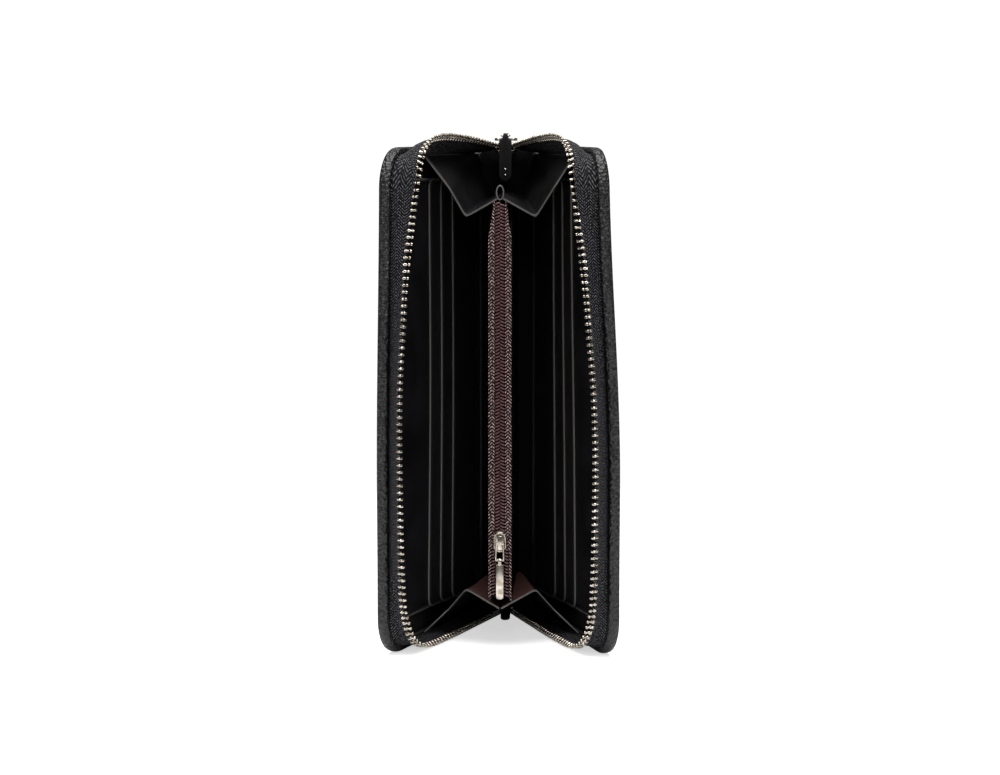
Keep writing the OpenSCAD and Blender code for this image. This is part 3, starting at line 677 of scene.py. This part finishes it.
class WALLET_OT_main_zip(bpy.types.Operator):
    """Main zip: a woven band from the rim to the chain, its corded edge, and a cast tooth at each pitch"""

    bl_idname = "wallet.main_zip"
    bl_label = "Main zip"

    def execute(self, context):
        tip, seam, lean, _, through, length = chain_frames()
        gap = np.linalg.norm(tip - seam, axis=1)
        # Across the band: 0 at the sewn edge, 1 at the teeth, with a cord at the free edge.
        across = np.array([-0.06, 0.1, 0.3, 0.5, 0.7, 0.85, 0.92, 0.96, 1.0])
        half = np.array([0.3, 0.3, 0.3, 0.3, 0.3, 0.32, 0.5, 0.58, 0.4])
        # The band ends between the teeth's jaws, this far short of their tips.
        short = 2.1
        reach = (gap - short)[None, :, None]
        centre = seam[None] + across[:, None, None] * reach * lean[None]
        # The cloth sags between its edges, and stands out round the upper corner, where it is folded over.
        corner = smooth_step((tip[:, 2] - 0.72 * COVER_H) / 30) * smooth_step((tip[:, 0] - 40) / 30)
        sag, proud = 0.5, 1.6
        puff = ((sag + proud) * corner - sag)[None, :, None] * np.sin(np.pi * np.clip(across, 0, 1))[:, None, None]
        centre = centre + puff * through[None]
        thick = half[:, None, None] * through
        shell = np.concatenate([centre + thick, (centre - thick)[::-1]])
        ring = np.concatenate([across, across[::-1]])
        run = np.linspace(0, length, len(tip))
        cloth = np.stack([np.broadcast_to(run, shell.shape[:2]), ring[:, None] * reach[0, :, 0][None],
                          np.zeros(shell.shape[:2])], -1)
        # One tooth, across, along and through: a jaw that grips the cord, a neck and a rounded head.
        rings = np.array([[-2.9, 0.55, 0.8], [-2.0, 0.6, 0.88], [-1.6, 0.42, 0.52], [-1.1, 0.46, 0.58],
                          [-0.6, 0.62, 0.86], [-0.08, 0.42, 0.55]])
        turn = full_turn(8) + math.pi / 8
        tooth = joined(rings[:, :1], rings[:, 1:2] * squared(np.cos(turn), 0.6),
                       rings[:, 2:] * squared(np.sin(turn), 0.6))
        caps = np.array([[[-2.95, 0, 0]], [[0.0, 0, 0]]]) * np.ones((1, 8, 1))
        tooth = np.concatenate([caps[:1], tooth, caps[1:]])
        quads = tube_faces(tooth)
        for name, side in SIDES.items():
            place = lambda p, side=side: cover_point(side, p[..., 0], p[..., 1], p[..., 2])
            tape = make_piece(f"{name}_tape_band", place(shell), grid_faces(*shell.shape[:2], wrap_rows=True),
                              finish("tape"), cloth)
            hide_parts(f"{name}_zip_tape")
            pitch = sizes().tooth_pitch
            at = np.arange(int(length / pitch)) * pitch + pitch * (0.25 if side < 0 else 0.75)
            t, _, le, al, th, _ = chain_frames(at[at < length - 0.3])
            body = (t[:, None, None] + tooth[..., :1] * le[:, None, None] + tooth[..., 1:2] * al[:, None, None]
                    + tooth[..., 2:] * th[:, None, None])
            count = tooth.shape[0] * tooth.shape[1]
            faces = quads[None] + (np.arange(len(t)) * count)[:, None, None]
            teeth = make_piece(f"{name}_cast_teeth", place(body), faces.reshape(-1, 4), finish("nickel"))
            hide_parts(f"{name}_zip_teeth")
            for piece in (tape, teeth):
                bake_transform(piece)
        for node in ("zip_head_tab", "zip_tail_tab"):
            low, high = cad_box_mm(node)
            along_y = np.array([[low[0], low[1]], [high[0], low[1]], [high[0], high[1]], [low[0], high[1]]])
            r = (high[0] - low[0]) / 2
            if node == "zip_tail_tab":
                along_y = np.concatenate([arc(0, low[1] + r, r, 180, 360), [[r, high[1]], [-r, high[1]]]])
            slope = math.tan(math.radians(10)) if node == "zip_tail_tab" else 0
            thick = 1.6 if slope else 1.4
            rise = lambda p, depth: joined(p[..., 0], p[..., 1], depth - slope * (high[1] - p[..., 1]))
            piece = flat_plate(node + "_cloth", along_y, high[2] - thick, high[2], 0.4, rise, finish("tape"))
            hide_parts(node)
            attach(piece, "spine")
        return {"FINISHED"}


class WALLET_OT_gussets(bpy.types.Operator):
    """End gussets: a ruled sheet between a front and a back line, rounded at its fold and sagging between them"""

    bl_idname = "wallet.gussets"
    bl_label = "Gussets"

    def execute(self, context):
        pocket_top, pocket_foot = COVER_H - 22.7, 19.8
        kinds = {
            "top": (COVER_H - 3.6, pocket_top - 3.3, pocket_top + 4.1),
            "bottom": (4.0, pocket_foot + 2.2, pocket_foot - 4.1),
        }
        for name, side in SIDES.items():
            for end, (seam_z, fold_z, mid_z) in kinds.items():
                back_fold = mid_z + 0.25 * (fold_z - mid_z)
                to_hinge = np.array([0, Y_HINGE, 0])
                mirror = np.array([-side, 1, 1])
                seam = [cover_point(side, np.array(u), np.array(w), np.array(seam_z)) * mirror
                        for u, w in ((64, 2.5), (9, 3.3))]
                front = np.array([seam[0] - to_hinge, [-20.3, -62, (seam_z + fold_z) / 2], [-13.3, -68, fold_z],
                                  [-0.45, -74, mid_z]]) + to_hinge
                rear = np.array([seam[1] - to_hinge, [-8, -3.95, (seam_z + back_fold) / 2],
                                 [-5.6, -3.95, back_fold], [-0.45, -3.95, mid_z]]) + to_hinge
                # Along the lines: 0 at the seam, 1 and 2 at the corners, 3 at the middle. A point's mean with its
                # neighbours 0.1 away, weighted 1, 2 and 1, rounds the corners.
                cols, near = 30, 0.1
                a = np.concatenate([np.linspace(0, 1.75, 26), np.linspace(1.78, 2.22, 14), np.linspace(2.25, 3, 14)])
                mid = lambda k, q: np.stack([np.interp(q, range(4), k[:, i]) for i in range(3)], 1)
                inner = (a > 2 * near) * (a < 3 - 2 * near)
                soft = lambda k: (mid(k, a - near * inner) + 2 * mid(k, a) + mid(k, a + near * inner)) / 4
                b = np.linspace(0, 1, cols)[None, :, None]
                sheet = soft(front)[:, None] * (1 - b) + soft(rear)[:, None] * b
                sag = 0.35
                wave = sag * np.sin(np.pi * b[..., 0]) * np.sin(a[:, None] * math.pi / 3 * 2 + 5 * b[..., 0])
                sheet[..., 2] += wave * smooth_step(a[:, None] * 2) * smooth_step((3 - a[:, None]) * 2)
                sheet = sheet * mirror
                lower = sheet - np.array([0, 0, SHEET])
                skin = np.concatenate([sheet, lower[:, ::-1]], 1)
                # Painted pale over the first 0.7 mm of a gusset that is about 70 mm deep: edge paint brightened into
                # a painted highlight.
                worn_and_lit = np.exp(-((np.concatenate([b[0, :, 0], b[0, ::-1, 0]]) * 70 / 0.7) ** 2))
                worn_and_lit = np.broadcast_to(worn_and_lit, skin.shape[:2])
                lined = np.where(np.arange(2 * cols) < cols, 1.0, 0.0)[None] * np.ones((len(a), 1))
                cloth = np.stack([lined * a[:, None], np.zeros(lined.shape), np.zeros(lined.shape)], -1)
                # Each end row is closed by quads from its upper to its lower points.
                col = np.arange(cols - 1)
                end_quads = np.stack([col, col + 1, 2 * cols - 2 - col, 2 * cols - 1 - col], 1)
                faces = np.concatenate([tube_faces(skin), end_quads, (len(a) - 1) * 2 * cols + end_quads])
                piece = make_piece(f"{name}_{end}_gusset_fold", skin, faces,
                                   finish("gusset" if end == "top" else "lined"), cloth, worn_and_lit)
                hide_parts(f"{name}_{end}_gusset")
                start, stop = bend_ends(side, 27, 4)
                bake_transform(piece)
        return {"FINISHED"}


class WALLET_OT_coin_pocket(bpy.types.Operator):
    """Coin pocket: thin walls with turned edges, a wine tape on each side, and a nylon coil of bent turns"""

    bl_idname = "wallet.coin_pocket"
    bl_label = "Coin pocket"

    def execute(self, context):
        # The walls' upper front corner is cut off, and the roof starts behind the cut.
        cut_y, cut_z = 9, 14
        for node in ("coin_pocket_left_wall", "coin_pocket_right_wall", "coin_pocket_roof", "coin_pocket_floor"):
            low, high = cad_box_mm(node)
            thin = 0 if high[0] - low[0] < 2 else 2
            if thin == 0:
                outline = np.array([[low[1], low[2]], [high[1], low[2]], [high[1], high[2]],
                                    [low[1] + cut_y, high[2]], [low[1], high[2] - cut_z]])
                place = lambda p, depth: joined(depth, p[..., 0], p[..., 1])
            else:
                front = low[1] + (cut_y if node.endswith("roof") else 0)
                outline = np.array([[low[0], front], [high[0], front], [high[0], high[1]], [low[0], high[1]]])
                place = lambda p, depth: joined(p[..., 0], p[..., 1], depth)
            # The pocket's walls, roof and floor are near black as painted shade of the deep cavity.
            piece = flat_plate(node + "_sheet", outline, low[thin], high[thin], 0.38, place, finish("spine"),
                wear_and_sheen=0.0)
            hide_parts(node)
            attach(piece, "spine")
        for name, side in SIDES.items():
            low, high = cad_box_mm(f"coin_zip_{name}_tape")
            coil_low, coil_high = cad_box_mm(f"coin_zip_{name}_coil")
            # The tape's inner edge is under the coil, and stands off to the side where the zip is open.
            outer, inner, apart_x = max(abs(low[0]), abs(high[0])) * side, 1.95 * side, 3.35 * side
            slider_low, slider_high = cad_box_mm("coin_slider_body")
            slider_z = (slider_low[2] + slider_high[2]) / 2 + 1
            outline = np.array([[outer, low[2]], [apart_x, low[2]], [apart_x, slider_z - 5],
                                [inner, slider_z], [inner, high[2]], [inner + 0.5 * side, high[2]],
                                [outer, high[2] - cut_z]])
            spine_line = lambda o, side=side, low=low, high=high, outer=outer: np.stack(
                [np.full(len(o), outer - 0.55 * side), np.clip(o[:, 1], low[2] + 1, high[2] - 9)], 1)
            piece = flat_plate(f"coin_{name}_tape_cloth", outline, low[1], high[1], 0.2, upright, finish("wine"),
                spine_line)
            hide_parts(f"coin_zip_{name}_tape")
            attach(piece, "spine")
            # One turn of the coil: from its root on the tape, up over the front and down to the middle.
            z = np.arange(coil_low[2] + 0.8, coil_high[2] - 0.4, sizes().coil_pitch)
            z = z + (0.3 if side > 0 else 0.3 + sizes().coil_pitch / 2)
            apart = (abs(apart_x) - abs(inner)) * smooth_step((slider_z - z) / 5)
            q = np.linspace(0, 1, 7)
            x = 1.8 - 1.75 * q
            y = (coil_low[1] + coil_high[1]) / 2 - 0.5 * np.sin(math.pi * q)
            path = np.stack([x, y, 0.75 * (q - 0.5)], 1)
            ahead = unit(np.gradient(path, axis=0))
            side_way = unit(np.cross(ahead, [0, 1, 0]))
            up = np.cross(side_way, ahead)
            turn = full_turn(6)
            r = 0.34 * np.array([0.8, 1, 1, 1, 1, 1.05, 0.7])
            tube = (path[:, None] + r[:, None, None] * (np.cos(turn)[None, :, None] * side_way[:, None]
                                                        + np.sin(turn)[None, :, None] * up[:, None]))
            tube = np.concatenate([np.broadcast_to(path[:1, None], (1, 6, 3)), tube,
                                   np.broadcast_to(path[-1:, None], (1, 6, 3))])
            shift = np.stack([apart, np.zeros(len(z)), z], 1)[:, None, None]
            turns = (tube[None] + shift) * np.array([side, 1, 1])
            count = tube.shape[0] * tube.shape[1]
            faces = tube_faces(tube)[None] + (np.arange(len(z)) * count)[:, None, None]
            piece = make_piece(f"coin_{name}_coil_turns", turns, faces.reshape(-1, 4), finish("coil"))
            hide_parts(f"coin_zip_{name}_coil")
            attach(piece, "spine")
        # The end loop is a flat strip bent into an oval and sewn to the top of the coin zip.
        low, high = cad_box_mm("coin_pocket_end_loop")
        mid, half = (low + high) / 2, (high - low) / 2
        turn = full_turn(40)
        ring = full_turn(16)
        band = squared(np.cos(ring), 0.5)
        thick = 0.36 * np.sin(ring)
        inside = 0.4
        points = joined(mid[0] + (half[0] - inside + thick[:, None]) * np.cos(turn),
                        mid[1] + (half[1] * band)[:, None],
                        mid[2] + (half[2] - inside + thick[:, None]) * np.sin(turn))
        # The loop's cut edges take the pale edge colour, a painted highlight.
        piece = make_piece("end_loop_strap", points, grid_faces(16, 40, True, True), finish("lining"),
            edge=np.broadcast_to((np.abs(band) ** 6)[:, None], (16, 40)))
        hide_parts("coin_pocket_end_loop")
        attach(piece, "spine")
        return {"FINISHED"}


class WALLET_OT_hardware(bpy.types.Operator):
    """Sliders, pulls and stops: rounded castings, a rim round the coin slider, and a leather tab with two rivets"""

    bl_idname = "wallet.hardware"
    bl_label = "Sliders and pulls"

    def execute(self, context):
        for node in ("zip_top_stop", "zip_bottom_stop", "coin_slider_body", "coin_slider_bridge", "coin_pull_link",
                     "main_slider_body", "main_slider_bridge", "main_pull_link"):
            soft_edged(node, finish("nickel"), 0.12)
        self.coin_bar()
        self.coin_rim()
        self.leather_tab()
        return {"FINISHED"}

    def coin_bar(self):
        """Rings across the bar, from its eye to its round end: half-width and half-thickness, both as ellipses."""
        low, high = cad_box_mm("coin_pull_bar")
        mid, half = (low + high) / 2, (high - low) / 2
        # Down from the eye, with the part of the half-width and of the half-thickness that the bar has there.
        t = np.array([0, 0.02, 0.06, 0.1, 0.14, 0.165, 0.19, 0.6, 0.86, 0.94, 0.975, 0.995, 1.0])
        wide = np.array([0.0, 0.42, 0.52, 0.54, 0.54, 0.88, 1.0, 1.0, 1.0, 0.93, 0.78, 0.5, 0.0])
        deep = np.array([0.0, 0.5, 0.92, 1.0, 0.8, 0.64, 0.7, 0.7, 0.7, 0.66, 0.55, 0.35, 0.0])
        turn = full_turn(24)
        points = joined(mid[0] + half[0] * wide[:, None] * np.cos(turn),
                        mid[1] + half[1] * deep[:, None] * np.sin(turn), high[2] - (high[2] - low[2]) * t[:, None])
        piece = make_piece("coin_pull_bar_cast", points, grid_faces(13, 24, wrap_cols=True), finish("nickel"))
        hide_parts("coin_pull_bar")
        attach(piece, BODY_OF["coin_pull_bar"])

    def coin_rim(self):
        """A round bead carried along the oval edge of the coin slider's front plate."""
        low, high = cad_box_mm("coin_slider_body")
        bead = 0.45
        r = (high[0] - low[0]) / 2 - bead
        straight = (high[2] - low[2]) / 2 - bead - r
        turn = full_turn(48)
        middle = np.array([(low[0] + high[0]) / 2, low[1] + 0.1, (low[2] + high[2]) / 2])
        centre = np.stack([r * np.cos(turn), np.zeros(48), r * np.sin(turn) + straight * np.sign(np.sin(turn))], 1)
        outward = np.stack([np.cos(turn), np.zeros(48), np.sin(turn)], 1)
        ring = full_turn(10)
        points = middle + centre[None] + bead * (np.cos(ring)[:, None, None] * outward[None]
                                                 + np.sin(ring)[:, None, None] * np.array([0, -1, 0]))
        piece = make_piece("coin_slider_rim", points, grid_faces(10, 48, True, True), finish("nickel"))
        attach(piece, BODY_OF["coin_slider_body"])

    def leather_tab(self):
        """The main pull's tab: the CAD tab's outline as a padded leather plate, and two domed rivets near its end."""
        low, high = cad_box_mm("main_pull_tab")
        r = (high[0] - low[0]) / 2
        thick = 1.2
        mid_y, pivot = (low[1] + high[1]) / 2, high[2]
        # The tab narrows to the fold that holds the link.
        shoulder = np.array([[r, pivot - 2.6], [1.2, pivot - 1.9], [0.85, pivot]])
        outline = np.concatenate([arc(0, low[2] + r, r, 180, 360), shoulder, shoulder[::-1] * [-1, 1]])
        # Its edges are painted a little pale, a faint painted highlight.
        strap = flat_plate("main_pull_strap", outline, mid_y - thick / 2, mid_y + thick / 2, 0.4, upright,
            finish("lining"), wear_and_sheen=0.15)
        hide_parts("main_pull_tab")
        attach(strap, BODY_OF["main_pull_tab"])
        # A dome: rings of radius rivet_r cos(a) at a height of rise sin(a), closed at its pole and its foot.
        rivet_r, rise = 0.62, 0.4
        a = np.linspace(0, math.pi / 2, 6)
        turn = full_turn(20)
        radius = np.concatenate([[0], rivet_r * np.cos(a)])
        out = np.concatenate([[0], rise * np.sin(a)])
        for k, z in enumerate((low[2] + 2.4, low[2] + 4.6)):
            points = joined(radius[:, None] * np.cos(turn), mid_y - thick / 2 + 0.1 - out[:, None],
                            z + radius[:, None] * np.sin(turn))
            rivet = make_piece(f"main_pull_rivet_{k + 1}", points, grid_faces(7, 20, wrap_cols=True),
                finish("nickel"))
            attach(rivet, BODY_OF["main_pull_tab"])


class WALLET_OT_stage(bpy.types.Operator):
    """Stage: a pale floor, a pale surround, soft boxes and the camera"""

    bl_idname = "wallet.stage"
    bl_label = "Stage"

    def execute(self, context):
        scene = bpy.context.scene
        scene.view_settings.view_transform = "Standard"
        material, add = new_material("pale studio floor")
        # A faint glow of its own keeps the floor pale in the shadow between the covers.
        seen = add("LightPath", out="Is Camera Ray")
        glow = add("Math", {0: seen, 1: 0.6}, operation="MULTIPLY")
        shader = add("BsdfPrincipled", {"Base Color": linear("f6f6f6"), "Roughness": 0.9, "Specular IOR Level": 0.0,
            "Emission Color": (1, 1, 1, 1), "Emission Strength": glow})
        turn = full_turn(64)
        floor_r = 650.0
        radius = np.array([0, floor_r])
        disc = np.stack([radius[:, None] * np.cos(turn), radius[:, None] * np.sin(turn), np.zeros((2, 64))], -1)
        # The floor fades out before its rim, into the pale surround.
        place = add("TexCoord", out="Object")
        run = add("VectorMath", {0: place}, out="Value", operation="LENGTH")
        fade = add("MapRange", {"Value": run, "From Min": 0.17, "From Max": 0.42})
        clear = add("BsdfTransparent")
        both = add("MixShader", {0: fade, 1: shader, 2: clear})
        add("OutputMaterial", {"Surface": both})
        floor = make_piece("floor", disc, grid_faces(2, 64, wrap_cols=True), material, shell=False)
        world = bpy.data.worlds.new("pale surround")
        scene.world = world
        world.use_nodes = True
        world.node_tree.nodes.clear()
        add = partial(add_node, world.node_tree)
        seen = add("LightPath", out="Is Camera Ray")
        grey = add("Background", {"Strength": 0.12, "Color": (1, 1, 1, 1)})
        white = add("Background", {"Strength": 1.05, "Color": (1, 1, 1, 1)})
        both = add("MixShader", {0: seen, 1: grey, 2: white})
        add("OutputWorld", {"Surface": both})
        for name, place, width, power in (("top", (0, -0.1, 1.3), 1.6, 38), ("left", (-1.2, -0.8, 0.6), 0.4, 4),
                                          ("right", (1.2, -0.8, 0.6), 0.4, 4), ("front", (0.1, -1.5, 0.8), 0.3, 2.4)):
            light = bpy.data.lights.new(name + " soft box", "AREA")
            light.size, light.energy = width, power
            lamp = bpy.data.objects.new(name + " soft box", light)
            lamp.location = place
            towards = Vector((0, 0, 0.1)) - Vector(place)
            lamp.rotation_euler = towards.to_track_quat("-Z", "Y").to_euler()
            scene.collection.objects.link(lamp)
        azimuth, elevation = math.radians(2.168), math.radians(5.973)
        target, distance = Vector((-0.000964, 0, 0.09733)), 1.0081
        back = Vector((math.sin(azimuth) * math.cos(elevation), -math.cos(azimuth) * math.cos(elevation),
                       math.sin(elevation)))
        lens = bpy.data.cameras.new("camera")
        lens.lens, lens.sensor_width, lens.clip_start, lens.clip_end = 94.14, 36, 0.01, 50
        camera = bpy.data.objects.new("camera", lens)
        camera.location = target + back * distance
        camera.rotation_euler = (-back).to_track_quat("-Z", "Y").to_euler()
        scene.collection.objects.link(camera)
        scene.camera = camera
        return {"FINISHED"}


OPERATORS = (WALLET_OT_covers, WALLET_OT_linings, WALLET_OT_main_zip, WALLET_OT_gussets, WALLET_OT_coin_pocket,
             WALLET_OT_hardware, WALLET_OT_stage)


class WALLET_PT_panel(bpy.types.Panel):
    """The wallet's sizes, its colours and a button for each group of pieces"""

    bl_idname = "WALLET_PT_panel"
    bl_label = "Wallet"
    bl_space_type = "VIEW_3D"
    bl_region_type = "UI"
    bl_category = "Wallet"

    def draw(self, context):
        """Lists the sizes, the colours and the operators."""
        for group in (context.scene.wallet_sizes, context.scene.wallet_colours):
            for name in group.__annotations__:
                self.layout.prop(group, name)
        for operator in OPERATORS:
            self.layout.operator(operator.bl_idname)


CLASSES = (WalletSizes, WalletColours, *OPERATORS, WALLET_PT_panel)


def register():
    """Makes the classes known, and gives each scene its sizes and colours."""
    for cls in CLASSES:
        bpy.utils.register_class(cls)
    bpy.types.Scene.wallet_sizes = PointerProperty(type=WalletSizes)
    bpy.types.Scene.wallet_colours = PointerProperty(type=WalletColours)


def unregister():
    """Takes the classes and the scene's values away again."""
    del bpy.types.Scene.wallet_sizes, bpy.types.Scene.wallet_colours
    for cls in reversed(CLASSES):
        bpy.utils.unregister_class(cls)


def main():
    """Builds every group of pieces in order."""
    register()
    for operator in OPERATORS:
        group, name = operator.bl_idname.split(".")
        if getattr(getattr(bpy.ops, group), name)() != {"FINISHED"}:
            raise RuntimeError(f"{operator.bl_label} did not finish")


if __name__ == "__main__":
    main()
